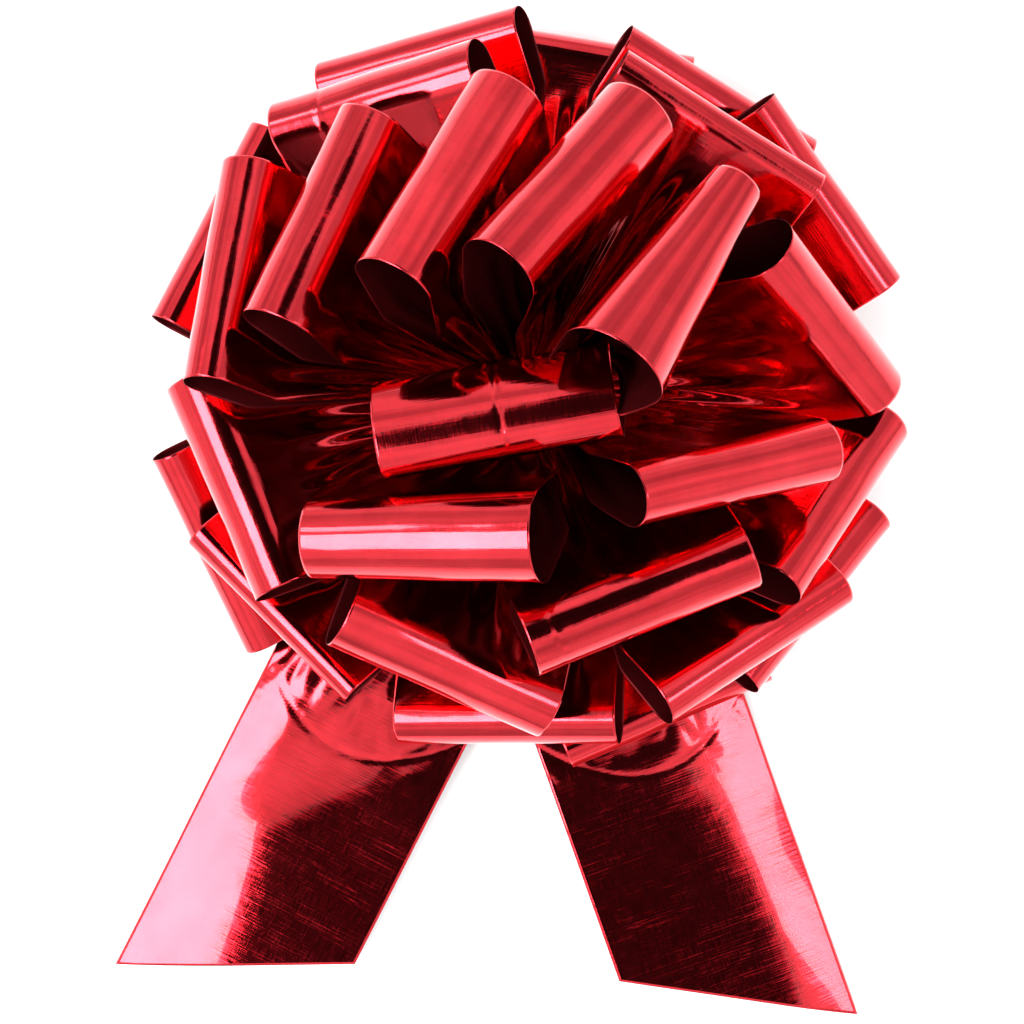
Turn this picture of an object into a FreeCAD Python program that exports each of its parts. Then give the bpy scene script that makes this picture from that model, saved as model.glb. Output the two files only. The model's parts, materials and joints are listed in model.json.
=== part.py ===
"""Pre-made gift bow: a ball of ribbon loops on a stack of sealed necks, with two tails.

The bow lies on its back.  The origin is the middle of the flat seal at the back, +Z goes
out through the front of the ball, and the two tails lie towards -Y.  Lengths are in mm.
"""
import FreeCAD, Part
import math
import os
import Sketcher

os.makedirs("parts", exist_ok=True)
doc = FreeCAD.newDocument("gift_bow")

# ---------------------------------------------------------------- driving dimensions
DIMENSIONS = [
    ("ribbon_width", 125.0, "width of the wide ribbon"),
    ("film_thickness", 0.4, "ribbon film, thicker than the real film so that it is a solid"),
    ("loop_reach", 200.0, "from a neck to the middle of a loop's rounded head"),
    ("head_radius", 15.0, "radius of a loop's rounded head"),
    ("root_distance", 20.0, "from a neck's centre to where its loop starts"),
    ("root_half_width", 4.0, "half the gathered ribbon's width where a loop starts"),
    ("root_half_depth", 1.2, "half the gathered ribbon's depth where a loop starts"),
    ("root_seal", 5.0, "length over which a loop's two layers are pressed together"),
    ("neck_pitch", 3.0, "height of one sealed neck"),
    ("neck_rim", 0.9, "film left beside the pull ribbons' slots in the front neck"),
    ("neck_step", 0.15, "each neck is this much larger than the one in front of it"),
    ("front_neck_step", 0.85, "the front necks grow by this much more at each step"),
    ("strand_width", 2.4, "width of the twisted strand from a neck to its loop"),
    ("strand_depth", 1.2, "depth of that strand"),
    ("strand_bite", 0.3, "how far a strand starts inside its neck"),
    ("strand_gap", 0.8, "gap between a strand and the loop that turns on it"),
    ("running_gap", 0.3, "gap between pieces that move past each other"),
    ("pull_width", 6.5, "width of a pull ribbon"),
    ("pull_thickness", 0.4, "thickness of a pull ribbon"),
    ("pull_spacing", 2.0, "between the middles of the two pull ribbons"),
    ("pull_free_end", 1.0, "how far a pull ribbon stands out of the top neck"),
    ("pull_foot", 9.0, "how far a pull ribbon's foot runs out under the necks"),
    ("slot_gap", 0.3, "gap round a pull ribbon in a neck's slot"),
    ("seal_radius", 11.0, "radius of the flat seal at the back"),
    ("seal_thickness", 0.8, "thickness of that seal"),
    ("tail_outer_length", 407.0, "from the origin to a tail's outer corner, along the tail"),
    ("tail_inner_length", 341.0, "from the origin to a tail's inner corner, along the tail"),
    ("tail_full_width_at", 160.0, "from the origin to where a tail reaches its full width"),
    ("tail_curl_radius", 340.0, "radius of a tail's lengthwise curl"),
    ("tail_lift", 0.2, "height of a tail's middle line above the back face"),
]

sheet = doc.addObject("Spreadsheet::Sheet", "dims")
for row, (alias, value, note) in enumerate(DIMENSIONS, start=1):
    sheet.set("A%d" % row, alias)
    sheet.set("B%d" % row, str(value))
    sheet.set("C%d" % row, note)
    sheet.setAlias("B%d" % row, alias)
doc.recompute()


def dim(alias):
    """The current value of one driving dimension."""
    return float(sheet.get(alias))


# ---------------------------------------------------------------- how the loops stand
# Two loops leave each neck, from the back of the bow to its front.  For each loop:
# azimuth and elevation of the line from its neck, turn of its head about that line
# (degrees), what it adds to the reach and to the head radius (mm), and how far its sides
# are drawn in at MID_SHARE of the reach, as a share of a straight taper.
LOOPS = [
    [(80, 6, 0, -4, -2, 0.85), (294, 8, 0, -2, -2, 0.85)],
    [(152, 12, 8, -1, -1, 0.85), (324, 15, -16, 2, -1, 0.85)],
    [(107, 13, -22, 2, -1, 0.85), (267, 20, 12, -6, 1, 0.85)],
    [(57, 12, 14, -1, -2, 0.85), (207, 9, -15, -2, -2, 0.85)],
    [(33, 17, 12, 4, -2, 0.85), (222, 20, 8, -4, -5, 0.85)],
    [(117, 29, -28, -2, 2, 0.85), (311, 28, -20, 8, -1, 0.85)],
    [(160, 36, 19, 6, 1, 0.85), (339, 26, -32, -3, 1, 0.85)],
    [(199, 28, 8, -17, 5, 0.85), (12, 35, 48, -6, 4, 0.85)],
    [(53, 34, 10, 4, -5, 0.85), (254, 36, -16, -11, 4, 0.85)],
    [(142, 45, 21, -12, 5, 0.85), (335, 53.5, -58, -8, 2, 0.85)],
    [(112, 58, 43, -6, 7, 0.85), (297, 48, -8, -12, 5, 0.85)],
    [(77, 61, 66, -4, 7, 0.85), (238, 58.5, 37, -16, 8, 0.85)],
    [(34, 65.5, -70, 13, 6, 0.25), (228, 81.5, 52, -50, 9, 0.50)],
]
MID_SHARE = 0.75
# The necks grow from front to back, and the first ones grow faster, so that the front
# loops' strands rise past the necks in front of them.
FRONT_NECKS = 3

# The two tails: direction of the middle line, and the side on which the tail is longer.
TAILS = [("tail_left", 243.0, 1), ("tail_right", 289.5, -1)]


def loop_axes(azimuth, elevation, turn):
    """Unit vectors along the head, across it, and out from the neck."""
    phi, theta, psi = (math.radians(v) for v in (azimuth, elevation, turn))
    out = FreeCAD.Vector(
        math.cos(theta) * math.cos(phi), math.cos(theta) * math.sin(phi), math.sin(theta))
    level = FreeCAD.Vector(-math.sin(phi), math.cos(phi), 0)
    rise = out.cross(level)
    along = level * math.cos(psi) + rise * math.sin(psi)
    return along, out.cross(along), out


# ---------------------------------------------------------------- drawing helpers
def origin_plane(body, role):
    """The body's own origin plane with that role."""
    return [f for f in body.Origin.OriginFeatures if f.Role == role][0]


def new_body(label):
    body = doc.addObject("PartDesign::Body", label)
    body.Label = label
    return body


def new_sketch(body, name, role):
    sketch = body.newObject("Sketcher::SketchObject", name)
    sketch.AttachmentSupport = [(origin_plane(body, role), "")]
    sketch.MapMode = "FlatFace"
    return sketch


def bind(sketch, constraint, name, expression):
    """Add a dimension to a sketch and bind it to the sheet."""
    index = sketch.addConstraint(constraint)
    sketch.renameConstraint(index, name)
    sketch.setExpression("Constraints." + name, expression)


def add_polygon(sketch, name, corners):
    """A closed polygon.  Each corner is (x, y, rule for |x|, rule for |y|)."""
    first = sketch.GeometryCount
    points = [FreeCAD.Vector(x, y, 0) for x, y, _, _ in corners]
    count = len(points)
    for i in range(count):
        sketch.addGeometry(Part.LineSegment(points[i], points[(i + 1) % count]), False)
    for i in range(count):
        sketch.addConstraint(
            Sketcher.Constraint("Coincident", first + i, 2, first + (i + 1) % count, 1))
    for i, (x, y, x_rule, y_rule) in enumerate(corners):
        for kind, value, rule in (("DistanceX", x, x_rule), ("DistanceY", y, y_rule)):
            ends = (-1, 1, first + i, 1) if value > 0 else (first + i, 1, -1, 1)
            bind(sketch, Sketcher.Constraint(kind, *ends, abs(value)),
                 "%s_%s%d" % (name, kind[-1].lower(), i), rule)


def mirrored(corners):
    """The same corners on the other side of the vertical axis."""
    return [(-x, y, x_rule, y_rule) for x, y, x_rule, y_rule in corners]


def add_rectangle(sketch, name, half_x, half_y, x_rule, y_rule):
    """A rectangle about the origin."""
    add_polygon(sketch, name, [
        (sx * half_x, sy * half_y, x_rule, y_rule)
        for sx, sy in ((-1, -1), (1, -1), (1, 1), (-1, 1))])


def add_teardrop(sketch, name, root, half_root, reach, radius):
    """A teardrop: a short root across the vertical axis, two straight sides, a round head.

    Each of root, half_root, reach and radius is a pair (value, expression).
    """
    first = sketch.GeometryCount
    corner = FreeCAD.Vector(half_root[0], root[0], 0)
    centre = FreeCAD.Vector(0, reach[0], 0)
    slant = centre - corner
    tangent = math.sqrt(slant.Length ** 2 - radius[0] ** 2)
    lean = math.atan2(slant.y, slant.x) - math.asin(radius[0] / slant.Length)
    touch = corner + FreeCAD.Vector(math.cos(lean), math.sin(lean), 0) * tangent
    start = math.atan2(touch.y - centre.y, touch.x - centre.x)
    circle = Part.Circle(centre, FreeCAD.Vector(0, 0, 1), radius[0])
    mirrored_touch = FreeCAD.Vector(-touch.x, touch.y, 0)
    mirrored_corner = FreeCAD.Vector(-corner.x, corner.y, 0)
    sketch.addGeometry(Part.ArcOfCircle(circle, start, math.pi - start), False)
    sketch.addGeometry(Part.LineSegment(corner, touch), False)
    sketch.addGeometry(Part.LineSegment(mirrored_touch, mirrored_corner), False)
    sketch.addGeometry(Part.LineSegment(mirrored_corner, corner), False)
    arc, right, left, base = first, first + 1, first + 2, first + 3
    for rule in (("PointOnObject", arc, 3, -2),
                 ("Tangent", arc, 1, right, 2),
                 ("Tangent", arc, 2, left, 1),
                 ("Coincident", left, 2, base, 1),
                 ("Coincident", base, 2, right, 1),
                 ("Symmetric", base, 1, base, 2, -2)):
        sketch.addConstraint(Sketcher.Constraint(*rule))
    bind(sketch, Sketcher.Constraint("DistanceY", -1, 1, arc, 3, reach[0]),
         name + "_reach", reach[1])
    bind(sketch, Sketcher.Constraint("Radius", arc, radius[0]),
         name + "_radius", radius[1])
    bind(sketch, Sketcher.Constraint("DistanceY", -1, 1, base, 1, root[0]),
         name + "_root", root[1])
    bind(sketch, Sketcher.Constraint("DistanceX", base, 1, base, 2, 2 * half_root[0]),
         name + "_root_width", "2 * (%s)" % half_root[1])


def both_ways(feature, expression):
    """Let a pad or pocket run the same length to each side of its sketch."""
    feature.SideType = "Symmetric"
    feature.setExpression("Length", expression)


def must_cut(feature, before):
    """A pocket that points into empty space leaves the volume as it was."""
    doc.recompute()
    if not feature.Shape.Volume < before - 1.0:
        raise RuntimeError(feature.Name + " removed nothing")


# ---------------------------------------------------------------- necks and loops
def neck_height(level):
    """Expression for the height of a neck's middle; level counts from 1 at the back."""
    return ("dims.seal_thickness + dims.pull_thickness"
            " + %d * dims.neck_pitch / 2" % (2 * level - 1))


def neck_radius(level):
    """A neck's radius now, and its expression: round the slots, and larger to the back."""
    steps = len(LOOPS) - level
    front_steps = min(steps, FRONT_NECKS)
    value = (dim("pull_width") / 2 + dim("slot_gap") + dim("neck_rim")
             + steps * dim("neck_step") + front_steps * dim("front_neck_step"))
    return value, ("dims.pull_width / 2 + dims.slot_gap + dims.neck_rim"
                   " + %d * dims.neck_step + %d * dims.front_neck_step" % (
                       steps, front_steps))


def make_loop(label, level, row):
    """One closed band of ribbon, standing out from its neck."""
    azimuth, elevation, turn, extra_reach, extra_radius, drawn_in = row
    reach = "dims.loop_reach + %g" % extra_reach
    radius = "dims.head_radius + %g" % extra_radius
    reach_now = dim("loop_reach") + extra_reach
    radius_now = dim("head_radius") + extra_radius
    film = dim("film_thickness")
    root = dim("root_distance")
    half_width = dim("root_half_width")
    half_depth = dim("root_half_depth")
    half_ribbon = dim("ribbon_width") / 2

    body = new_body(label)
    outline = new_sketch(body, label + "_outline", "YZ_Plane")
    add_teardrop(outline, "outer", (root, "dims.root_distance"),
                 (half_depth, "dims.root_half_depth"), (reach_now, reach),
                 (radius_now, radius))
    add_teardrop(outline, "inner",
                 (root + dim("root_seal"), "dims.root_distance + dims.root_seal"),
                 (half_depth - film, "dims.root_half_depth - dims.film_thickness"),
                 (reach_now, reach),
                 (radius_now - film, radius + " - dims.film_thickness"))
    band = body.newObject("PartDesign::Pad", label + "_band")
    band.Profile = outline
    both_ways(band, "dims.ribbon_width")
    doc.recompute()

    # The sides run in from the full width at the head to the gathered root.
    sides = new_sketch(body, label + "_sides", "XZ_Plane")
    mid_width = "%g * dims.ribbon_width / 2" % (MID_SHARE * drawn_in)
    outside = "dims.ribbon_width"
    below = "dims.root_distance / 2"
    corners = [
        (half_width, root / 2, "dims.root_half_width", below),
        (half_width, root, "dims.root_half_width", "dims.root_distance"),
        (half_ribbon * MID_SHARE * drawn_in, reach_now * MID_SHARE,
         mid_width, "%g * (%s)" % (MID_SHARE, reach)),
        (half_ribbon, reach_now - radius_now,
         "dims.ribbon_width / 2", "%s - (%s)" % (reach, radius)),
        (2 * half_ribbon, reach_now - radius_now, outside, "%s - (%s)" % (reach, radius)),
        (2 * half_ribbon, root / 2, outside, below),
    ]
    add_polygon(sides, "right", corners)
    add_polygon(sides, "left", mirrored(corners))
    trim = body.newObject("PartDesign::Pocket", label + "_trim")
    trim.Profile = sides
    both_ways(trim, "4 * (%s)" % radius)
    must_cut(trim, band.Shape.Volume)

    along, across, out = loop_axes(azimuth, elevation, turn)
    body.Placement = FreeCAD.Placement(
        FreeCAD.Vector(0, 0, 0), FreeCAD.Rotation(along, across, out, "ZXY"))
    body.setExpression(".Placement.Base.z", neck_height(level))
    return body


def add_strand(body, name, level, row):
    """The twisted strand from a neck's rim to where its loop starts."""
    azimuth, elevation, turn = row[:3]
    along, _, out = loop_axes(azimuth, elevation, turn)
    radius, radius_rule = neck_radius(level)
    rim = radius - dim("strand_bite")
    phi = math.radians(azimuth)
    start = FreeCAD.Vector(rim * math.cos(phi), rim * math.sin(phi), 0)
    end = out * (dim("root_distance") - dim("strand_gap"))
    run = (end - start).normalize()
    wide = (along - run * along.dot(run)).normalize()
    sketch = new_sketch(body, name + "_section", "XY_Plane")
    sketch.AttachmentOffset = FreeCAD.Placement(
        start, FreeCAD.Rotation(wide, run.cross(wide), run, "ZXY"))
    add_rectangle(sketch, "section", dim("strand_width") / 2, dim("strand_depth") / 2,
                  "dims.strand_width / 2", "dims.strand_depth / 2")
    strand = body.newObject("PartDesign::Pad", name)
    strand.Profile = sketch
    far = "(dims.root_distance - dims.strand_gap)"
    near = "(%s - dims.strand_bite)" % radius_rule
    strand.setExpression("Length", "sqrt(%s ^ 2 + %s ^ 2 - 2 * %s * %s * %.9g)" % (
        far, near, far, near, math.cos(math.radians(elevation))))


def make_neck(label, level, rows):
    """One sealed neck: a small round with slots for the pull ribbons, and two strands."""
    body = new_body(label)
    disc = new_sketch(body, label + "_disc", "XY_Plane")
    radius, radius_rule = neck_radius(level)
    disc.addGeometry(Part.Circle(
        FreeCAD.Vector(0, 0, 0), FreeCAD.Vector(0, 0, 1), radius), False)
    disc.addConstraint(Sketcher.Constraint("Coincident", 0, 3, -1, 1))
    bind(disc, Sketcher.Constraint("Radius", 0, radius), "rim", radius_rule)
    seal = body.newObject("PartDesign::Pad", label + "_seal")
    seal.Profile = disc
    both_ways(seal, "dims.neck_pitch")
    doc.recompute()

    half_slot = dim("pull_width") / 2 + dim("slot_gap")
    slot_rule = "dims.pull_width / 2 + dims.slot_gap"
    reach = dim("pull_thickness") / 2 + dim("slot_gap")
    near = dim("pull_spacing") / 2 - reach
    far = dim("pull_spacing") / 2 + reach
    near_rule = "dims.pull_spacing / 2 - dims.pull_thickness / 2 - dims.slot_gap"
    far_rule = "dims.pull_spacing / 2 + dims.pull_thickness / 2 + dims.slot_gap"
    slots = new_sketch(body, label + "_slots", "XY_Plane")
    for side, name in ((1, "slot_1"), (-1, "slot_2")):
        add_polygon(slots, name, [
            (-half_slot, side * near, slot_rule, near_rule),
            (half_slot, side * near, slot_rule, near_rule),
            (half_slot, side * far, slot_rule, far_rule),
            (-half_slot, side * far, slot_rule, far_rule)])
    cut = body.newObject("PartDesign::Pocket", label + "_slot_cut")
    cut.Profile = slots
    both_ways(cut, "2 * dims.neck_pitch")
    must_cut(cut, seal.Shape.Volume)

    for i, row in enumerate(rows, start=1):
        add_strand(body, "%s_strand_%d" % (label, i), level, row)
    body.setExpression(".Placement.Base.z", neck_height(level))
    return body


# ---------------------------------------------------------------- pull ribbons and seal
def make_pull_ribbon(label, side):
    """A narrow ribbon up through all the necks, with a short foot on the back seal."""
    body = new_body(label)
    profile = new_sketch(body, label + "_profile", "YZ_Plane")
    film = dim("pull_thickness")
    near = dim("pull_spacing") / 2 - film / 2
    bottom = dim("seal_thickness")
    top = bottom + film + len(LOOPS) * dim("neck_pitch") + dim("pull_free_end")
    far = near + dim("pull_foot")
    near_rule = "dims.pull_spacing / 2 - dims.pull_thickness / 2"
    bottom_rule = "dims.seal_thickness"
    top_rule = ("dims.seal_thickness + dims.pull_thickness"
                " + %d * dims.neck_pitch + dims.pull_free_end" % len(LOOPS))
    corners = [
        (near, bottom, near_rule, bottom_rule),
        (far, bottom, near_rule + " + dims.pull_foot", bottom_rule),
        (far, bottom + film, near_rule + " + dims.pull_foot",
         bottom_rule + " + dims.pull_thickness"),
        (near + film, bottom + film, near_rule + " + dims.pull_thickness",
         bottom_rule + " + dims.pull_thickness"),
        (near + film, top, near_rule + " + dims.pull_thickness", top_rule),
        (near, top, near_rule, top_rule),
    ]
    add_polygon(profile, "pull", corners)
    strip = body.newObject("PartDesign::Pad", label + "_strip")
    strip.Profile = profile
    both_ways(strip, "dims.pull_width")
    turn = 0 if side > 0 else 180
    body.Placement = FreeCAD.Placement(
        FreeCAD.Vector(0, 0, 0), FreeCAD.Rotation(FreeCAD.Vector(0, 0, 1), turn))
    return body


def make_back_seal(label):
    """The flat welded end of the ribbon, which is what gets stuck to a gift."""
    body = new_body(label)
    disc = new_sketch(body, label + "_disc", "XY_Plane")
    disc.addGeometry(Part.Circle(
        FreeCAD.Vector(0, 0, 0), FreeCAD.Vector(0, 0, 1), dim("seal_radius")), False)
    disc.addConstraint(Sketcher.Constraint("Coincident", 0, 3, -1, 1))
    bind(disc, Sketcher.Constraint("Radius", 0, dim("seal_radius")),
         "rim", "dims.seal_radius")
    pad = body.newObject("PartDesign::Pad", label + "_pad")
    pad.Profile = disc
    pad.setExpression("Length", "dims.seal_thickness")
    return body


# ---------------------------------------------------------------- tails
def make_tail(label, azimuth, longer_side):
    """A loose end of the ribbon: gathered at the seal, cut at a slant, curled lengthwise."""
    half = dim("ribbon_width") / 2
    film = dim("film_thickness")
    curl = dim("tail_curl_radius")
    centre = dim("tail_lift") + curl
    lean = math.asin(half / curl)
    body = new_body(label)
    section = new_sketch(body, label + "_section", "XZ_Plane")
    axis = FreeCAD.Vector(0, centre, 0)
    normal = FreeCAD.Vector(0, 0, 1)
    down = -math.pi / 2
    inner_lean = math.asin(half / (curl - film))
    section.addGeometry(Part.ArcOfCircle(
        Part.Circle(axis, normal, curl), down - lean, down + lean), False)
    section.addGeometry(Part.ArcOfCircle(
        Part.Circle(axis, normal, curl - film), down - inner_lean, down + inner_lean), False)
    for i, point in enumerate((2, 1)):
        a = section.getPoint(0, point)
        b = section.getPoint(1, point)
        section.addGeometry(Part.LineSegment(a, b), False)
        section.addConstraint(Sketcher.Constraint("Coincident", 2 + i, 1, 0, point))
        section.addConstraint(Sketcher.Constraint("Coincident", 2 + i, 2, 1, point))
        section.addConstraint(Sketcher.Constraint("Vertical", 2 + i))
    section.addConstraint(Sketcher.Constraint("PointOnObject", 0, 3, -2))
    section.addConstraint(Sketcher.Constraint("Coincident", 0, 3, 1, 3))
    section.addConstraint(Sketcher.Constraint("Symmetric", 0, 1, 0, 2, -2))
    bind(section, Sketcher.Constraint("DistanceY", -1, 1, 0, 3, centre),
         "height", "dims.tail_lift + dims.tail_curl_radius")
    bind(section, Sketcher.Constraint("Radius", 0, curl), "curl", "dims.tail_curl_radius")
    bind(section, Sketcher.Constraint("Radius", 1, curl - film),
         "curl_inside", "dims.tail_curl_radius - dims.film_thickness")
    bind(section, Sketcher.Constraint("DistanceX", 0, 1, 0, 2, 2 * half),
         "width", "dims.ribbon_width")
    strip = body.newObject("PartDesign::Pad", label + "_strip")
    strip.Profile = section
    strip.Reversed = True
    strip.setExpression("Length", "dims.tail_outer_length")
    doc.recompute()
    if strip.Shape.BoundBox.YMax < dim("tail_inner_length"):
        raise RuntimeError(label + " runs the wrong way")

    # Everything outside the gathered root and its widening sides goes, back to the seal.
    plan = new_sketch(body, label + "_plan", "XY_Plane")
    root = dim("seal_radius") + dim("running_gap")
    root_rule = "dims.seal_radius + dims.running_gap"
    root_width = dim("root_half_width")
    full = dim("tail_full_width_at")
    chain = [
        (root_width, root, "dims.root_half_width", root_rule),
        (half, full, "dims.ribbon_width / 2", "dims.tail_full_width_at"),
        (2 * half, full, "dims.ribbon_width", "dims.tail_full_width_at"),
        (2 * half, -half, "dims.ribbon_width", "dims.ribbon_width / 2"),
    ]
    add_polygon(plan, "gather", chain + mirrored(chain)[::-1])
    gather = body.newObject("PartDesign::Pocket", label + "_gather")
    gather.Profile = plan
    both_ways(gather, "2 * dims.ribbon_width")
    must_cut(gather, strip.Shape.Volume)

    slant = new_sketch(body, label + "_slant", "XY_Plane")
    outer = (dim("tail_outer_length"), "dims.tail_outer_length")
    inner = (dim("tail_inner_length"), "dims.tail_inner_length")
    beyond = (outer[0] + half, "dims.tail_outer_length + dims.ribbon_width / 2")
    x_in = (half, "dims.ribbon_width / 2")
    x_out = (2 * half, "dims.ribbon_width")
    corners = [(-x_in[0], inner, x_in[1]), (x_in[0], outer, x_in[1]),
               (x_out[0], outer, x_out[1]), (x_out[0], beyond, x_out[1]),
               (-x_out[0], beyond, x_out[1]), (-x_out[0], inner, x_out[1])]
    corners = [(longer_side * x, y[0], x_rule, y[1]) for x, y, x_rule in corners]
    add_polygon(slant, "cut", corners)
    snip = body.newObject("PartDesign::Pocket", label + "_snip")
    snip.Profile = slant
    both_ways(snip, "2 * dims.ribbon_width")
    must_cut(snip, gather.Shape.Volume)
    body.Placement = FreeCAD.Placement(
        FreeCAD.Vector(0, 0, 0), FreeCAD.Rotation(FreeCAD.Vector(0, 0, 1), azimuth - 90))
    return body


# ---------------------------------------------------------------- the whole bow
pieces = [make_back_seal("back_seal"),
          make_pull_ribbon("pull_ribbon_1", 1),
          make_pull_ribbon("pull_ribbon_2", -1)]
for level, rows in enumerate(LOOPS, start=1):
    pieces.append(make_neck("neck_%02d" % level, level, rows))
    for i, row in enumerate(rows):
        pieces.append(make_loop("loop_%02d" % (2 * level - 1 + i), level, row))
for label, azimuth, longer_side in TAILS:
    pieces.append(make_tail(label, azimuth, longer_side))
doc.recompute()

for thing in doc.Objects:
    if "Invalid" in thing.State or "Error" in thing.State:
        raise RuntimeError("%s did not build: %s" % (thing.Name, thing.State))
for piece in pieces:
    shape = piece.Shape
    if shape.isNull() or not shape.isValid() or len(shape.Solids) != 1:
        raise RuntimeError(piece.Label + " is not one valid solid")
for piece in pieces:
    piece.Shape.exportStep("parts/%s.step" % piece.Label)
    print("%-14s %10.1f mm3" % (piece.Label, piece.Shape.Volume))
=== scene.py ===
"""Looks of a gift bow: red metallised ribbon gathered into round loops, with two tails.

Lengths are in metres.  The bow lies on its back, +Z goes out through its front and the
tails lie towards -Y.
"""
import json
import math
import random

import bpy
import numpy as np
from bpy.props import FloatProperty, FloatVectorProperty, IntProperty, PointerProperty
from bpy.types import Operator, Panel, PropertyGroup
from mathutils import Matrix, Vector, noise


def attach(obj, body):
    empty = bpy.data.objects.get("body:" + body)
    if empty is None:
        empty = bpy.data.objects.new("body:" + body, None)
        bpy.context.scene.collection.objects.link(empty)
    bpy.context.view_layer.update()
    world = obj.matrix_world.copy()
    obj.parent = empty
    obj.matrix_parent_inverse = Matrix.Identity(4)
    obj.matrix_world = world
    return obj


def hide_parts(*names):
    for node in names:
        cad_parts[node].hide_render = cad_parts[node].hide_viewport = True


bl_info = {
    "name": "Gift Bow Ribbon",
    "version": (1, 0, 0),
    "blender": (4, 5, 0),
    "location": "3D View > Sidebar > Gift Bow",
    "description": "Makes the film loops, necks and tails of a gathered gift bow",
    "category": "Add Mesh",
}

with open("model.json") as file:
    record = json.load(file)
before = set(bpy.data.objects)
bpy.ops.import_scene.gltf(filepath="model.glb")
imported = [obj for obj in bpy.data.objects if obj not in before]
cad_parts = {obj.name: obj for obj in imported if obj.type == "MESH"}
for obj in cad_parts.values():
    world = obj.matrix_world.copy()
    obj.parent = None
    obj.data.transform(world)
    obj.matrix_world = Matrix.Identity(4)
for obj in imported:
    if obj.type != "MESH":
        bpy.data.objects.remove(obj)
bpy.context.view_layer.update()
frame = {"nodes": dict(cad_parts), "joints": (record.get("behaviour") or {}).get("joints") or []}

TAU = 2 * math.pi
LOOP_NODES = sorted(n for n in frame["nodes"] if n.startswith("loop_"))
NECK_NODES = sorted(n for n in frame["nodes"] if n.startswith("neck_"))
PULL_NODES = sorted(n for n in frame["nodes"] if n.startswith("pull_ribbon"))
SEAL_NODE = "back_seal"
TAIL_NODES = sorted(n for n in frame["nodes"] if n.startswith("tail_"))


# ------------------------------------------------------------------ user settings
class GIFTBOW_PG_ribbon(PropertyGroup):
    """The wide ribbon that makes every loop and both tails."""
    width: FloatProperty(
        name="Ribbon Width", description="Width of the wide ribbon",
        default=0.125, min=0.02, unit="LENGTH")
    film: FloatProperty(
        name="Film Thickness", description="Thickness of the shown ribbon film",
        default=0.0002, min=0.00005, unit="LENGTH")
    root_distance: FloatProperty(
        name="Root Distance", description="From a neck's centre to where its loop starts",
        default=0.0165, unit="LENGTH")
    root_half_width: FloatProperty(
        name="Root Half Width", description="Half the gathered ribbon's width at its root",
        default=0.0038, unit="LENGTH")
    root_half_depth: FloatProperty(
        name="Root Half Depth", description="Half the gathered ribbon's depth at its root",
        default=0.0012, unit="LENGTH")
    straight_ends: FloatProperty(
        name="Straight Ends", description="Full-width ribbon behind a loop's rounded head",
        default=0.018, unit="LENGTH")
    pleats: IntProperty(
        name="Pleats", description="Gathering pleats across the ribbon's width",
        default=6, min=1)
    flare: FloatProperty(
        name="Flare", description="How late a loop opens to its full width; 1 is a fan",
        default=1.0, min=0.5)


class GIFTBOW_PG_surface(PropertyGroup):
    """How much the film is bent out of its plain shape."""
    dent: FloatProperty(
        name="Dent Depth", description="Depth of the soft dents in a loop's head",
        default=0.0007, unit="LENGTH")
    pleat: FloatProperty(
        name="Pleat Depth", description="Depth of the gathering pleats near a neck",
        default=0.0068, unit="LENGTH")
    crease: FloatProperty(
        name="Crease Depth", description="Depth of the sharp creases across a loop",
        default=0.0004, unit="LENGTH")
    tail_wave: FloatProperty(
        name="Tail Wave", description="Height of the tails' lengthwise waves",
        default=0.0022, unit="LENGTH")


class GIFTBOW_PG_colours(PropertyGroup):
    """Colours of the film, the seal and the floor."""
    film_red: FloatVectorProperty(
        name="Film Red", description="Colour that the metallised face reflects",
        subtype="COLOR", size=3, default=(0.78, 0.024, 0.038), min=0, max=1)
    film_deep: FloatVectorProperty(
        name="Film Deep Red", description="Colour where the coloured coat is thicker",
        subtype="COLOR", size=3, default=(0.66, 0.014, 0.026), min=0, max=1)
    # Reverse face colour: partly the reverse's own duller red, partly painted shade that darkens
    # the insides of the loops.
    reverse_red_with_painted_shade: FloatVectorProperty(
        name="Reverse Red", description="Colour of the film's reverse face",
        subtype="COLOR", size=3, default=(0.13, 0.006, 0.009), min=0, max=1)
    seal_red: FloatVectorProperty(
        name="Seal Red", description="Colour of the welded film at the back",
        subtype="COLOR", size=3, default=(0.30, 0.010, 0.016), min=0, max=1)
    floor: FloatVectorProperty(
        name="Floor", description="Colour of the studio floor",
        subtype="COLOR", size=3, default=(0.96, 0.96, 0.96), min=0, max=1)


def ribbon_settings():
    return bpy.context.scene.giftbow_ribbon


def surface_settings():
    return bpy.context.scene.giftbow_surface


def colour_settings():
    return bpy.context.scene.giftbow_colours


# ------------------------------------------------------------------ small helpers
def smoothstep(low, high, value):
    t = min(1.0, max(0.0, (value - low) / (high - low)))
    return t * t * (3 - 2 * t)


def opaque(colour):
    return (colour[0], colour[1], colour[2], 1.0)


def grid_mesh(name, points, uvs):
    """A smooth quad grid.  points and uvs are rows of equal length."""
    rows, columns = len(points), len(points[0])
    vertices = [p for row in points for p in row]
    faces = [
        (r * columns + c, r * columns + c + 1, (r + 1) * columns + c + 1,
         (r + 1) * columns + c)
        for r in range(rows - 1) for c in range(columns - 1)]
    mesh = bpy.data.meshes.new(name)
    mesh.from_pydata(vertices, [], faces)
    layer = mesh.uv_layers.new(name="ribbon")
    flat = [uv for row in uvs for uv in row]
    for loop in mesh.loops:
        layer.data[loop.index].uv = flat[loop.vertex_index]
    mesh.polygons.foreach_set("use_smooth", [True] * len(faces))
    mesh.update()
    return mesh


def add_piece(name, mesh):
    piece = bpy.data.objects.new(name, mesh)
    bpy.context.scene.collection.objects.link(piece)
    return piece


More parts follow.
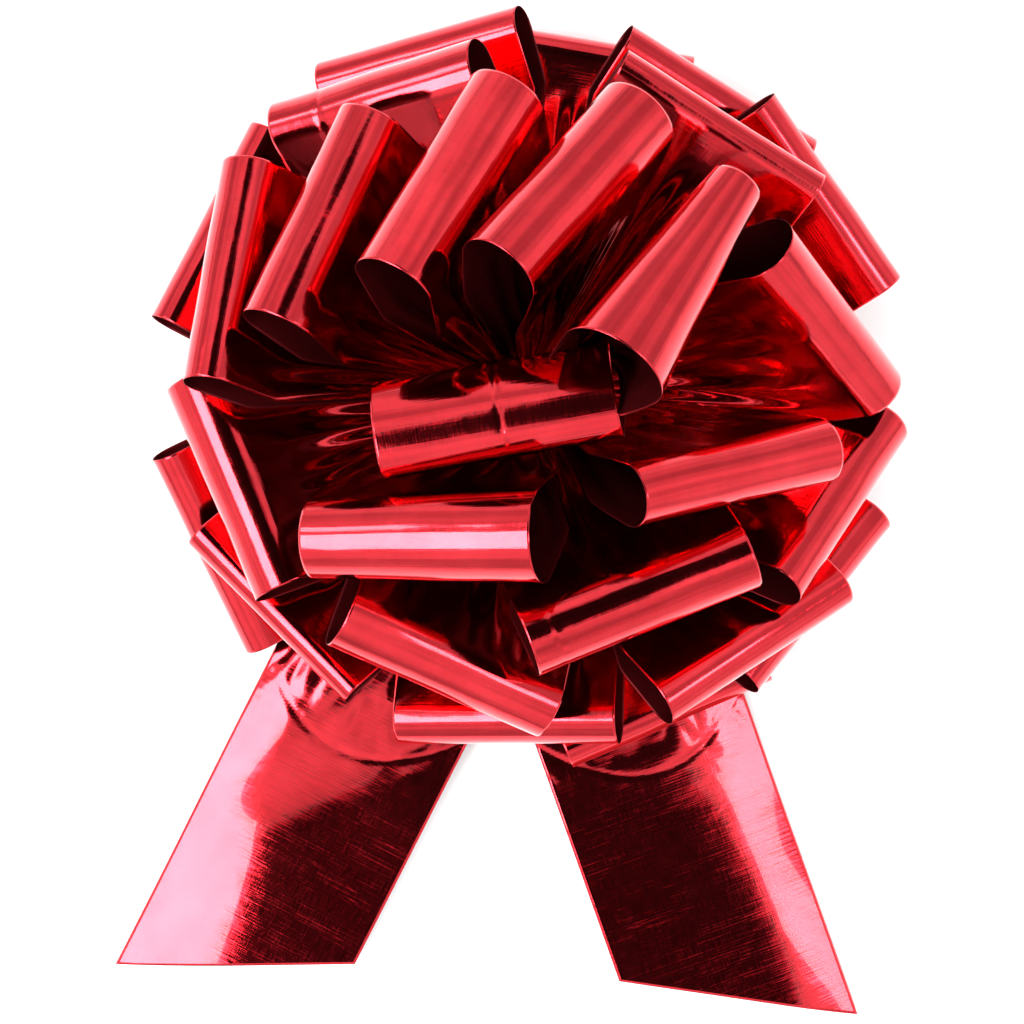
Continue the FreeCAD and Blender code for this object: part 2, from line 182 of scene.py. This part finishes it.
def give_film(piece, thickness):
    """Turn a single face of ribbon into film with a face, a reverse and cut edges."""
    piece.data.materials.append(film_material())
    piece.data.materials.append(reverse_material())
    solid = piece.modifiers.new("film", "SOLIDIFY")
    solid.thickness = thickness
    solid.offset = -1.0
    solid.material_offset = 1
    solid.material_offset_rim = 1


# ------------------------------------------------------------------ materials
def new_material(name):
    """An empty node material with its shader joined to its output."""
    material = bpy.data.materials.new(name)
    material.use_nodes = True
    tree = material.node_tree
    tree.nodes.clear()
    output = tree.nodes.new("ShaderNodeOutputMaterial")
    shader = tree.nodes.new("ShaderNodeBsdfPrincipled")
    tree.links.new(shader.outputs["BSDF"], output.inputs["Surface"])
    return material, tree, shader


def ribbon_coordinates(tree, across, lengthwise):
    """Ribbon coordinates in metres, scaled differently across and along the ribbon."""
    coordinates = tree.nodes.new("ShaderNodeTexCoord")
    mapping = tree.nodes.new("ShaderNodeMapping")
    mapping.inputs["Scale"].default_value = (across, lengthwise, 1.0)
    tree.links.new(coordinates.outputs["UV"], mapping.inputs["Vector"])
    return mapping.outputs["Vector"]


def solid_coordinates(tree, scale):
    """Coordinates in the piece's own space, for pieces that have no ribbon grid."""
    coordinates = tree.nodes.new("ShaderNodeTexCoord")
    mapping = tree.nodes.new("ShaderNodeMapping")
    mapping.inputs["Scale"].default_value = (scale, scale, scale)
    tree.links.new(coordinates.outputs["Object"], mapping.inputs["Vector"])
    return mapping.outputs["Vector"]


def add_noise(tree, vector, detail=3.0, roughness=0.5, distortion=0.0):
    node = tree.nodes.new("ShaderNodeTexNoise")
    node.inputs["Scale"].default_value = 1.0
    node.inputs["Detail"].default_value = detail
    node.inputs["Roughness"].default_value = roughness
    node.inputs["Distortion"].default_value = distortion
    tree.links.new(vector, node.inputs["Vector"])
    return node.outputs["Fac"]


def add_range(tree, value, from_low, from_high, to_low, to_high):
    node = tree.nodes.new("ShaderNodeMapRange")
    for socket, number in zip(("From Min", "From Max", "To Min", "To Max"),
                              (from_low, from_high, to_low, to_high)):
        node.inputs[socket].default_value = number
    tree.links.new(value, node.inputs["Value"])
    return node.outputs["Result"]


def add_bump(tree, height, distance, strength, normal=None):
    node = tree.nodes.new("ShaderNodeBump")
    node.inputs["Distance"].default_value = distance
    node.inputs["Strength"].default_value = strength
    tree.links.new(height, node.inputs["Height"])
    if normal is not None:
        tree.links.new(normal, node.inputs["Normal"])
    return node.outputs["Normal"]


def add_mix(tree, factor, first, second):
    node = tree.nodes.new("ShaderNodeMix")
    node.data_type = "RGBA"
    node.inputs[6].default_value = opaque(first)
    node.inputs[7].default_value = opaque(second)
    tree.links.new(factor, node.inputs["Factor"])
    return node.outputs[2]


# Layers of bumps on the metallised face, from the coarsest to the finest: what each one is,
# its noise scale across and along the ribbon, the noise's detail, roughness and distortion,
# and the bump's distance (metres) and strength.
FILM_BUMPS = (
    ("crush", (26, 38), 3.0, 0.5, 0.4, 0.0012, 0.35),
    ("orange peel", (420, 420), 2.0, 0.5, 0.0, 0.00006, 0.35),
    ("drawn streaks", (900, 35), 2.0, 0.6, 0.0, 0.00005, 0.5),
    ("fine lines", (14, 700), 2.0, 0.6, 0.0, 0.00009, 0.8),
)
FILM_ROUGHNESS = (0.07, 0.16)
REVERSE_ROUGHNESS = (0.28, 0.42)
REVERSE_THICK_COAT = 0.7
CRUSHED_ROUGHNESS = (0.2, 0.4)
# Share of the colour left where the crushed film's folds are darkened: painted shade.
CRUSHED_FOLD_PAINTED_SHADE = 0.55


def film_material():
    """The metallised face: mirror-like red with drawn streaks, lines and orange peel."""
    found = bpy.data.materials.get("metallised_film")
    if found:
        return found
    colours = colour_settings()
    material, tree, shader = new_material("metallised_film")
    blotch = add_noise(tree, ribbon_coordinates(tree, 30, 18), 4.0, 0.6)
    tint = add_mix(tree, add_range(tree, blotch, 0.35, 0.7, 0.0, 1.0),
                   colours.film_red, colours.film_deep)
    tree.links.new(tint, shader.inputs["Base Color"])
    grain = add_noise(tree, ribbon_coordinates(tree, 1400, 90), 2.0, 0.6)
    tree.links.new(add_range(tree, grain, 0.3, 0.75, *FILM_ROUGHNESS),
                   shader.inputs["Roughness"])
    normal = None
    for _, scale, detail, roughness, distortion, distance, strength in FILM_BUMPS:
        height = add_noise(tree, ribbon_coordinates(tree, *scale), detail, roughness,
                           distortion)
        normal = add_bump(tree, height, distance, strength, normal)
    tree.links.new(normal, shader.inputs["Normal"])
    shader.inputs["Metallic"].default_value = 1.0
    shader.inputs["Coat Weight"].default_value = 0.5
    shader.inputs["Coat Roughness"].default_value = 0.04
    shader.inputs["Coat IOR"].default_value = 1.5
    return material


def reverse_material():
    """The film's reverse: the metal seen through the plastic, softer, and darker partly for its
    own duller look and partly as painted shade for the loops' insides.
    """
    found = bpy.data.materials.get("film_reverse")
    if found:
        return found
    colours = colour_settings()
    material, tree, shader = new_material("film_reverse")
    blotch = add_noise(tree, ribbon_coordinates(tree, 40, 22), 4.0, 0.6)
    tint = add_mix(tree, add_range(tree, blotch, 0.3, 0.75, 0.0, 1.0),
                   colours.reverse_red_with_painted_shade, [c * REVERSE_THICK_COAT for c in colours.reverse_red_with_painted_shade])
    tree.links.new(tint, shader.inputs["Base Color"])
    grain = add_noise(tree, ribbon_coordinates(tree, 900, 80), 2.0, 0.6)
    tree.links.new(add_range(tree, grain, 0.3, 0.75, *REVERSE_ROUGHNESS),
                   shader.inputs["Roughness"])
    crush = add_noise(tree, ribbon_coordinates(tree, 30, 30), 3.0, 0.5, 0.4)
    tree.links.new(add_bump(tree, crush, 0.001, 0.4), shader.inputs["Normal"])
    shader.inputs["Metallic"].default_value = 0.8
    return material


def crushed_material(name, colour, fold_scale, fold_depth):
    """Film crushed and welded into a neck, a seal or a narrow pull ribbon, with painted shade
    along its folds.
    """
    found = bpy.data.materials.get(name)
    if found:
        return found
    material, tree, shader = new_material(name)
    folds = add_noise(tree, solid_coordinates(tree, fold_scale), 4.0, 0.6, 1.2)
    # Painted shade: the fold pattern that also makes the bumps darkens the colour.
    tint = add_mix(tree, add_range(tree, folds, 0.3, 0.7, 0.0, 1.0),
                   colour, [c * CRUSHED_FOLD_PAINTED_SHADE for c in colour])
    tree.links.new(tint, shader.inputs["Base Color"])
    grain = add_noise(tree, solid_coordinates(tree, fold_scale * 6), 2.0, 0.5)
    tree.links.new(add_range(tree, grain, 0.3, 0.7, *CRUSHED_ROUGHNESS),
                   shader.inputs["Roughness"])
    normal = add_bump(tree, folds, fold_depth, 0.8)
    normal = add_bump(tree, grain, fold_depth * 0.15, 0.5, normal)
    tree.links.new(normal, shader.inputs["Normal"])
    shader.inputs["Metallic"].default_value = 0.85
    return material


# ------------------------------------------------------------------ loops
# Marks on single loops: how much wider the head is at one end (a share of its radius), how
# far its top leans to one side, how late each side opens to full width, and where sharp
# creases cross it (shares of the ribbon's width from its middle).
LOOP_MARKS = {
    "loop_26": {"creases": (0.02,), "flares": (1.2, 2.5), "lean": 0.45},
    "loop_25": {"cone": -0.34, "flares": (4.0, 1.2)},
    "loop_22": {"creases": (-0.38,)},
    "loop_11": {"creases": (0.25,)},
}


# Grid of a loop: rows along one side, rows round the head, columns across the ribbon.
SIDE_ROWS = 30
HEAD_ROWS = 34
LOOP_COLUMNS = 96
# A loop's head is what lies beyond this share of its reach.
HEAD_FROM = 0.86
# Pleats: how deep they may be, as a share of the loop's depth and of their own width, and
# the share of a side's length at which they have died out.
PLEAT_OF_DEPTH = 0.6
PLEAT_OF_WIDTH = 0.7
PLEATS_END = 0.9
WANDER_SCALE = 2.3
DENT_SCALE = 22
CREASE_WIDTH = 0.012
CREASE_SHARE = 0.6
# A leaning head moves over smoothly: how rounded the start of its lean is, how far the whole
# loop is moved back (both in head radii), and the share of a side over which it sets in.
LEAN_ROUNDING = 0.5
LEAN_BACK = 0.3
LEAN_SETS_IN = 0.75


def loop_stand(node):
    """How a loop stands, from its joint and its solid: neck, axes, reach and head radius."""
    joint = next(j for j in frame["joints"] if j["child"] == node)
    neck = Vector(joint["pos_m"])
    out = Vector(joint["axis"]).normalized()
    solid = np.array([v.co - neck for v in frame["nodes"][node].data.vertices])
    heights = solid @ np.array(out)
    reach = heights.max()
    flat = solid - np.outer(heights, np.array(out))
    head = flat[heights > HEAD_FROM * reach]
    along = Vector(np.linalg.svd(head - head.mean(0), full_matrices=False)[2][0])
    level = Vector((0, 0, 1)).cross(out)
    if along.dot(level) < 0:
        along = -along
    across = out.cross(along)
    radius = np.abs(head @ np.array(across)).max()
    return {"neck": neck, "out": out, "along": along, "across": across, "reach": reach,
            "radius": radius}


def loop_profile(stand, root, root_depth):
    """Rows round a loop, from its neck over its head and back to its neck.

    Each row is height, depth, outward height, outward depth, share of its side's length,
    which side it is on (0 on the head) and the ribbon's length up to it.
    """
    centre = stand["reach"] - stand["radius"]
    radius = stand["radius"]
    slant = math.hypot(centre - root, root_depth)
    lean = math.asin((radius - root_depth) / slant)
    rows = []
    for side in (-1, 1):
        steps = range(SIDE_ROWS) if side < 0 else range(SIDE_ROWS - 1, -1, -1)
        for step in steps:
            share = step / SIDE_ROWS
            height = root + share * (centre - radius * math.sin(lean) - root)
            depth = root_depth + share * (radius * math.cos(lean) - root_depth)
            rows.append([height, side * depth, -math.sin(lean), side * math.cos(lean),
                         share, side])
        if side < 0:
            for step in range(HEAD_ROWS + 1):
                angle = -math.pi / 2 - lean + (math.pi + 2 * lean) * step / HEAD_ROWS
                rows.append([centre + radius * math.cos(angle),
                             radius * math.sin(angle),
                             math.cos(angle), math.sin(angle), 1.0, 0])
    length = 0.0
    last = rows[0]
    for row in rows:
        length += math.hypot(row[0] - last[0], row[1] - last[1])
        row.append(length)
        last = row
    return rows


def head_lean(lean, stand, height, share, side):
    """How far a leaning loop is moved sideways at one height."""
    rise = (height - stand["reach"] + stand["radius"]) / stand["radius"]
    shift = -lean * stand["radius"] * ((rise + math.hypot(rise, LEAN_ROUNDING)) / 2 - LEAN_BACK)
    if share < LEAN_SETS_IN and side:
        shift *= share / LEAN_SETS_IN
    return shift


def make_loop(node, order):
    """One loop of ribbon: pleated at its neck, spread to full width round its head."""
    ribbon, surface = ribbon_settings(), surface_settings()
    stand = loop_stand(node)
    marks = LOOP_MARKS.get(node, {})
    draw = random.Random(1000 + order)
    half = ribbon.width / 2
    root = ribbon.root_distance
    full_at = stand["reach"] - 2 * stand["radius"] - ribbon.straight_ends
    flares = marks.get("flares", (ribbon.flare, ribbon.flare))
    rows = loop_profile(stand, root, ribbon.root_half_depth)
    phase = draw.uniform(0, TAU)
    sway = draw.uniform(-0.6, 0.6)
    cone = marks.get("cone", draw.uniform(-0.06, 0.06))
    lean = marks.get("lean", 0.0)
    seed = Vector((draw.uniform(-50, 50), draw.uniform(-50, 50), draw.uniform(-50, 50)))
    points, uvs = [], []
    for height, depth, out_height, out_depth, share, side, length in rows:
        opening = min(1.0, (height - root) / (full_at - root))
        left, right = (ribbon.root_half_width
                       + (half - ribbon.root_half_width) * opening ** flare
                       for flare in flares)
        pleat_width = (left + right) / ribbon.pleats
        pleat_depth = 0.0
        if side:
            pleat_depth = min(PLEAT_OF_DEPTH * abs(depth), PLEAT_OF_WIDTH * pleat_width,
                              surface.pleat * max(0.0, 1 - share / PLEATS_END))
        side_shift = head_lean(lean, stand, height, share, side)
        row_points, row_uvs = [], []
        for c in range(LOOP_COLUMNS + 1):
            u = 2 * c / LOOP_COLUMNS - 1
            x = u * (right if u > 0 else left)
            wander = noise.noise(Vector((u * WANDER_SCALE, side * 3.0, 0.5)) + seed)
            fold = 0.5 - 0.5 * math.cos(
                TAU * (ribbon.pleats * u / 2 + sway * u * share + 0.5 * wander) + phase)
            push = -2 * pleat_depth * fold * (0.75 + 0.5 * wander)
            grow = cone * u * smoothstep(0.3, 1.0, share) * stand["radius"]
            where = Vector((u * half * DENT_SCALE, length * DENT_SCALE, 0)) + seed
            dent = surface.dent * noise.noise(where) * smoothstep(0.2, 0.9, share)
            for at in marks.get("creases", ()):
                dent -= surface.crease * CREASE_SHARE * math.exp(
                    -((u / 2 - at) / CREASE_WIDTH) ** 2)
            y = depth + (push + grow + dent) * out_depth + side_shift
            z = height + (grow + dent) * out_height
            row_points.append(stand["neck"] + stand["along"] * x + stand["across"] * y
                              + stand["out"] * z)
            row_uvs.append((u * half, length))
        points.append(row_points)
        uvs.append(row_uvs)
    piece = add_piece("ribbon_" + node, grid_mesh("ribbon_" + node, points, uvs))
    give_film(piece, ribbon.film)
    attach(piece, node)
    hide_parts(node)
    return piece


class GIFTBOW_OT_loops(Operator):
    """Make the ribbon loops round the necks"""
    bl_idname = "giftbow.loops"
    bl_label = "Ribbon Loops"

    def execute(self, context):
        for order, node in enumerate(LOOP_NODES):
            make_loop(node, order)
        return {"FINISHED"}


# ------------------------------------------------------------------ tails
# For each tail: direction of its middle line (degrees), the side on which it is longer, where
# its outer part starts to fall (shares of its half width, near the ball and at its end), and
# how far it comes down from the ball (metres) before the line where it lies flat.
TAILS = {
    "tail_left": {"heading": 243.0, "longer": 1, "fall_from": (0.22, -0.12),
                  "drop": 0.011, "flat_line": 0.270, "flat_slant": 0.075},
    "tail_right": {"heading": 289.5, "longer": -1, "fall_from": (-0.10, 0.35),
                   "drop": 0.004, "flat_line": 0.245, "flat_slant": 0.010},
}
TAIL_ROOT = 0.012
TAIL_FULL_AT = 0.160
TAIL_OUTER = 0.407
TAIL_INNER = 0.341
TAIL_RISE = 0.0125
TAIL_EDGE_SLOPE = 0.33
TAIL_LIFT = 0.0004
TAIL_DROP_LENGTH = 0.11
TAIL_CREASE_AT = 0.234
TAIL_CREASE_BOW = 0.035
TAIL_CREASE_WIDTH = 0.0016
TAIL_PLEAT = 0.002
TAIL_WRINKLE = 0.0011
TAIL_ROWS = 220
TAIL_COLUMNS = 72


def tail_height(shape, half, outer, length, opening):
    """Height of a tail's face: it comes down from the ball and its outer part falls."""
    near, far = shape["fall_from"]
    start = near + (far - near) * smoothstep(0.24, 0.39, length)
    fall = max(0.0, (outer - start) / (1 - start))
    section = TAIL_EDGE_SLOPE * half * (1 - start) / 2 * fall ** 2
    line = shape["flat_line"] + shape["flat_slant"] * outer
    drop = shape["drop"] * (1 - smoothstep(line - TAIL_DROP_LENGTH, line + 0.015, length))
    return TAIL_LIFT + (TAIL_RISE - section + drop) * opening


def make_tail(node, order):
    """A loose end of ribbon: gathered at the back seal, cut at a slant."""
    ribbon, surface = ribbon_settings(), surface_settings()
    shape = TAILS[node]
    draw = random.Random(2000 + order)
    heading = math.radians(shape["heading"])
    ahead = Vector((math.cos(heading), math.sin(heading), 0))
    right = Vector((math.sin(heading), -math.cos(heading), 0))
    half = ribbon.width / 2
    seed = Vector((draw.uniform(-50, 50), draw.uniform(-50, 50), 0))
    points, uvs = [], []
    for r in range(TAIL_ROWS + 1):
        share = r / TAIL_ROWS
        row_points, row_uvs = [], []
        for c in range(TAIL_COLUMNS + 1):
            u = 2 * c / TAIL_COLUMNS - 1
            outer = shape["longer"] * u
            end = (TAIL_OUTER + TAIL_INNER + outer * (TAIL_OUTER - TAIL_INNER)) / 2
            length = TAIL_ROOT + share * (end - TAIL_ROOT)
            opening = min(1.0, (length - TAIL_ROOT) / (TAIL_FULL_AT - TAIL_ROOT))
            spread = ribbon.root_half_width + (half - ribbon.root_half_width) * opening
            x = u * spread
            pleat_width = 2 * spread / ribbon.pleats
            pleat = min(TAIL_PLEAT, 0.4 * pleat_width) * (1 - smoothstep(0.5, 1.0, opening))
            z = tail_height(shape, half, outer, length, opening)
            z += pleat * (1 + math.cos(TAU * ribbon.pleats * u / 2))
            where = Vector((x * 14, length * 11, 0)) + seed
            calm = 1 - 0.55 * smoothstep(0.22, 0.30, length)
            z += surface.tail_wave * calm * smoothstep(0.3, 1.0, opening) * (
                0.5 + 0.5 * noise.noise(where))
            crease = TAIL_CREASE_AT - TAIL_CREASE_BOW * (outer - 0.05) ** 2
            z -= surface.crease * math.exp(-((length - crease) / TAIL_CREASE_WIDTH) ** 2)
            wrinkle = noise.noise(Vector((x * 70, length * 45, 3.0)) + seed)
            z += TAIL_WRINKLE * abs(wrinkle) * opening * (
                1 - smoothstep(0.205, 0.255, length))
            row_points.append(ahead * length + right * x + Vector((0, 0, z)))
            row_uvs.append((u * half, length))
        points.append(row_points)
        uvs.append(row_uvs)
    piece = add_piece("ribbon_" + node, grid_mesh("ribbon_" + node, points, uvs))
    give_film(piece, ribbon.film)
    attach(piece, node)
    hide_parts(node)
    return piece


class GIFTBOW_OT_tails(Operator):
    """Make the two loose ribbon ends"""
    bl_idname = "giftbow.tails"
    bl_label = "Ribbon Tails"

    def execute(self, context):
        for order, node in enumerate(TAIL_NODES):
            make_tail(node, order)
        return {"FINISHED"}


# ------------------------------------------------------------------ core
def dress_node(node, material):
    """Give a carried-over solid its material."""
    mesh = frame["nodes"][node].data
    mesh.materials.clear()
    mesh.materials.append(material)


class GIFTBOW_OT_core(Operator):
    """Give the necks, the pull ribbons and the back seal their finish"""
    bl_idname = "giftbow.core"
    bl_label = "Necks and Seal"

    def execute(self, context):
        colours = colour_settings()
        for node in NECK_NODES:
            dress_node(node, crushed_material("crushed_film", colours.film_deep, 180, 0.0012))
        for node in PULL_NODES:
            dress_node(node, crushed_material("pull_ribbon", colours.film_red, 90, 0.0002))
        dress_node(SEAL_NODE, crushed_material("welded_seal", colours.seal_red, 240, 0.0006))
        return {"FINISHED"}


# ------------------------------------------------------------------ stage
CAMERA_PLACE = (-0.0076, -0.0688, 1.5)
CAMERA_LENS = 89.7
CAMERA_SENSOR = 36.0
FLOOR_HALF = 6.0
FLOOR_LEVEL = -0.0003
# The dark opening over the tent, as tangents of angles from straight up along X and Y.
OPENING_MIDDLE = (0.0, 0.28)
OPENING_HALF = (0.38, 0.58)
OPENING_LIGHT = 0.02
OPENING_EDGE = (0.96, 1.04)
TENT_LIGHT = 1.05
# The tent's cloth is uneven: the size of its panels and their darkest and lightest share.
PANEL_SCALE = 2.4
PANEL_LIGHT = (0.6, 1.2)
# Each softbox: name, place, the point it faces, its two sides (metres), power (watts) and
# whether the film mirrors it.
SOFTBOXES = (
    ("softbox_front", (-1.10, -0.35, 1.6), (0, 0, 0.1), (1.2, 0.9), 42, True),
    ("softbox_left", (-1.5, 0.7, 1.3), (0, 0, 0.1), (0.3, 0.7), 6, True),
    ("softbox_right", (1.16, -0.22, 1.6), (0, 0, 0.1), (0.35, 0.7), 7, True),
    ("softbox_fill", (0.3, 0, 2.2), (0, 0, 0), (2.0, 2.0), 30, False),
)


def floor_material():
    material, tree, shader = new_material("studio_floor")
    speckle = add_noise(tree, solid_coordinates(tree, 60), 3.0)
    colour = colour_settings().floor
    tint = add_mix(tree, speckle, colour, [c * 0.99 for c in colour])
    tree.links.new(tint, shader.inputs["Base Color"])
    shader.inputs["Roughness"].default_value = 0.9
    return material


def make_world():
    """A white tent with a dark oval opening overhead, mirrored by the film as dark bands.

    A direction's X and Y over its Z give its place in the opening's plane; its distance
    from the opening's middle, in half sizes, then tells dark from light.
    """
    world = bpy.data.worlds.new("studio")
    bpy.context.scene.world = world
    world.use_nodes = True
    tree = world.node_tree
    tree.nodes.clear()
    output = tree.nodes.new("ShaderNodeOutputWorld")
    background = tree.nodes.new("ShaderNodeBackground")
    background.inputs["Color"].default_value = (1.0, 1.0, 1.0, 1.0)
    coordinates = tree.nodes.new("ShaderNodeTexCoord")
    split = tree.nodes.new("ShaderNodeSeparateXYZ")
    height = tree.nodes.new("ShaderNodeMath")
    height.operation = "MAXIMUM"
    height.inputs[1].default_value = 0.02
    flatten = tree.nodes.new("ShaderNodeVectorMath")
    flatten.operation = "DIVIDE"
    join = tree.nodes.new("ShaderNodeCombineXYZ")
    place = tree.nodes.new("ShaderNodeMapping")
    place.vector_type = "TEXTURE"
    place.inputs["Location"].default_value = (*OPENING_MIDDLE, 1.0)
    place.inputs["Scale"].default_value = (*OPENING_HALF, 1.0)
    distance = tree.nodes.new("ShaderNodeVectorMath")
    distance.operation = "LENGTH"
    edge = tree.nodes.new("ShaderNodeMapRange")
    edge.interpolation_type = "SMOOTHSTEP"
    edge.inputs["From Min"].default_value = OPENING_EDGE[0]
    edge.inputs["From Max"].default_value = OPENING_EDGE[1]
    edge.inputs["To Min"].default_value = OPENING_LIGHT
    edge.inputs["To Max"].default_value = TENT_LIGHT
    tree.links.new(coordinates.outputs["Generated"], split.inputs[0])
    tree.links.new(split.outputs["Z"], height.inputs[0])
    for axis in "XYZ":
        tree.links.new(height.outputs[0], join.inputs[axis])
    tree.links.new(coordinates.outputs["Generated"], flatten.inputs[0])
    tree.links.new(join.outputs[0], flatten.inputs[1])
    tree.links.new(flatten.outputs[0], place.inputs["Vector"])
    tree.links.new(place.outputs[0], distance.inputs[0])
    tree.links.new(distance.outputs["Value"], edge.inputs["Value"])
    cloth = tree.nodes.new("ShaderNodeTexNoise")
    cloth.inputs["Scale"].default_value = PANEL_SCALE
    cloth.inputs["Detail"].default_value = 1.0
    tree.links.new(coordinates.outputs["Generated"], cloth.inputs["Vector"])
    panels = add_range(tree, cloth.outputs["Fac"], 0.38, 0.62, *PANEL_LIGHT)
    shade = tree.nodes.new("ShaderNodeMath")
    shade.operation = "MULTIPLY"
    tree.links.new(edge.outputs["Result"], shade.inputs[0])
    tree.links.new(panels, shade.inputs[1])
    tree.links.new(shade.outputs[0], background.inputs["Strength"])
    tree.links.new(background.outputs["Background"], output.inputs["Surface"])


def add_softbox(name, place, target, size, power, mirrored):
    light = bpy.data.lights.new(name, "AREA")
    light.shape = "RECTANGLE"
    light.size, light.size_y = size
    light.energy = power
    lamp = bpy.data.objects.new(name, light)
    lamp.location = place
    aim = Vector(target) - Vector(place)
    lamp.rotation_euler = aim.to_track_quat("-Z", "Y").to_euler()
    lamp.visible_glossy = mirrored
    bpy.context.scene.collection.objects.link(lamp)


class GIFTBOW_OT_stage(Operator):
    """Make the floor, the lights and the camera"""
    bl_idname = "giftbow.stage"
    bl_label = "Studio Stage"

    def execute(self, context):
        scene = bpy.context.scene
        corners = [(x * FLOOR_HALF, y * FLOOR_HALF, FLOOR_LEVEL)
                   for x, y in ((-1, -1), (1, -1), (1, 1), (-1, 1))]
        floor = bpy.data.meshes.new("floor")
        floor.from_pydata(corners, [], [(0, 1, 2, 3)])
        floor.materials.append(floor_material())
        add_piece("floor", floor)
        make_world()
        for softbox in SOFTBOXES:
            add_softbox(*softbox)
        camera = bpy.data.cameras.new("camera")
        camera.lens = CAMERA_LENS
        camera.sensor_width = CAMERA_SENSOR
        camera.clip_end = 50.0
        seat = bpy.data.objects.new("camera", camera)
        seat.location = CAMERA_PLACE
        scene.collection.objects.link(seat)
        scene.camera = seat
        scene.view_settings.view_transform = "Standard"
        scene.view_settings.look = "None"
        return {"FINISHED"}


# ------------------------------------------------------------------ panel
OPERATORS = (GIFTBOW_OT_loops, GIFTBOW_OT_tails, GIFTBOW_OT_core, GIFTBOW_OT_stage)


class GIFTBOW_PT_panel(Panel):
    bl_idname = "GIFTBOW_PT_panel"
    bl_label = "Gift Bow"
    bl_space_type = "VIEW_3D"
    bl_region_type = "UI"
    bl_category = "Gift Bow"

    def draw(self, context):
        for operator in OPERATORS:
            self.layout.operator(operator.bl_idname)
        for group in (ribbon_settings(), surface_settings(), colour_settings()):
            box = self.layout.box()
            for field in group.bl_rna.properties:
                if field.identifier not in ("name", "rna_type"):
                    box.prop(group, field.identifier)


SETTINGS = (("giftbow_ribbon", GIFTBOW_PG_ribbon),
            ("giftbow_surface", GIFTBOW_PG_surface),
            ("giftbow_colours", GIFTBOW_PG_colours))


def register():
    for name, group in SETTINGS:
        bpy.utils.register_class(group)
        setattr(bpy.types.Scene, name, PointerProperty(type=group))
    for operator in OPERATORS:
        bpy.utils.register_class(operator)
    bpy.utils.register_class(GIFTBOW_PT_panel)


def unregister():
    bpy.utils.unregister_class(GIFTBOW_PT_panel)
    for operator in reversed(OPERATORS):
        bpy.utils.unregister_class(operator)
    for name, group in reversed(SETTINGS):
        delattr(bpy.types.Scene, name)
        bpy.utils.unregister_class(group)


def main():
    register()
    bpy.ops.giftbow.loops()
    bpy.ops.giftbow.tails()
    bpy.ops.giftbow.core()
    bpy.ops.giftbow.stage()


if __name__ == "__main__":
    main()
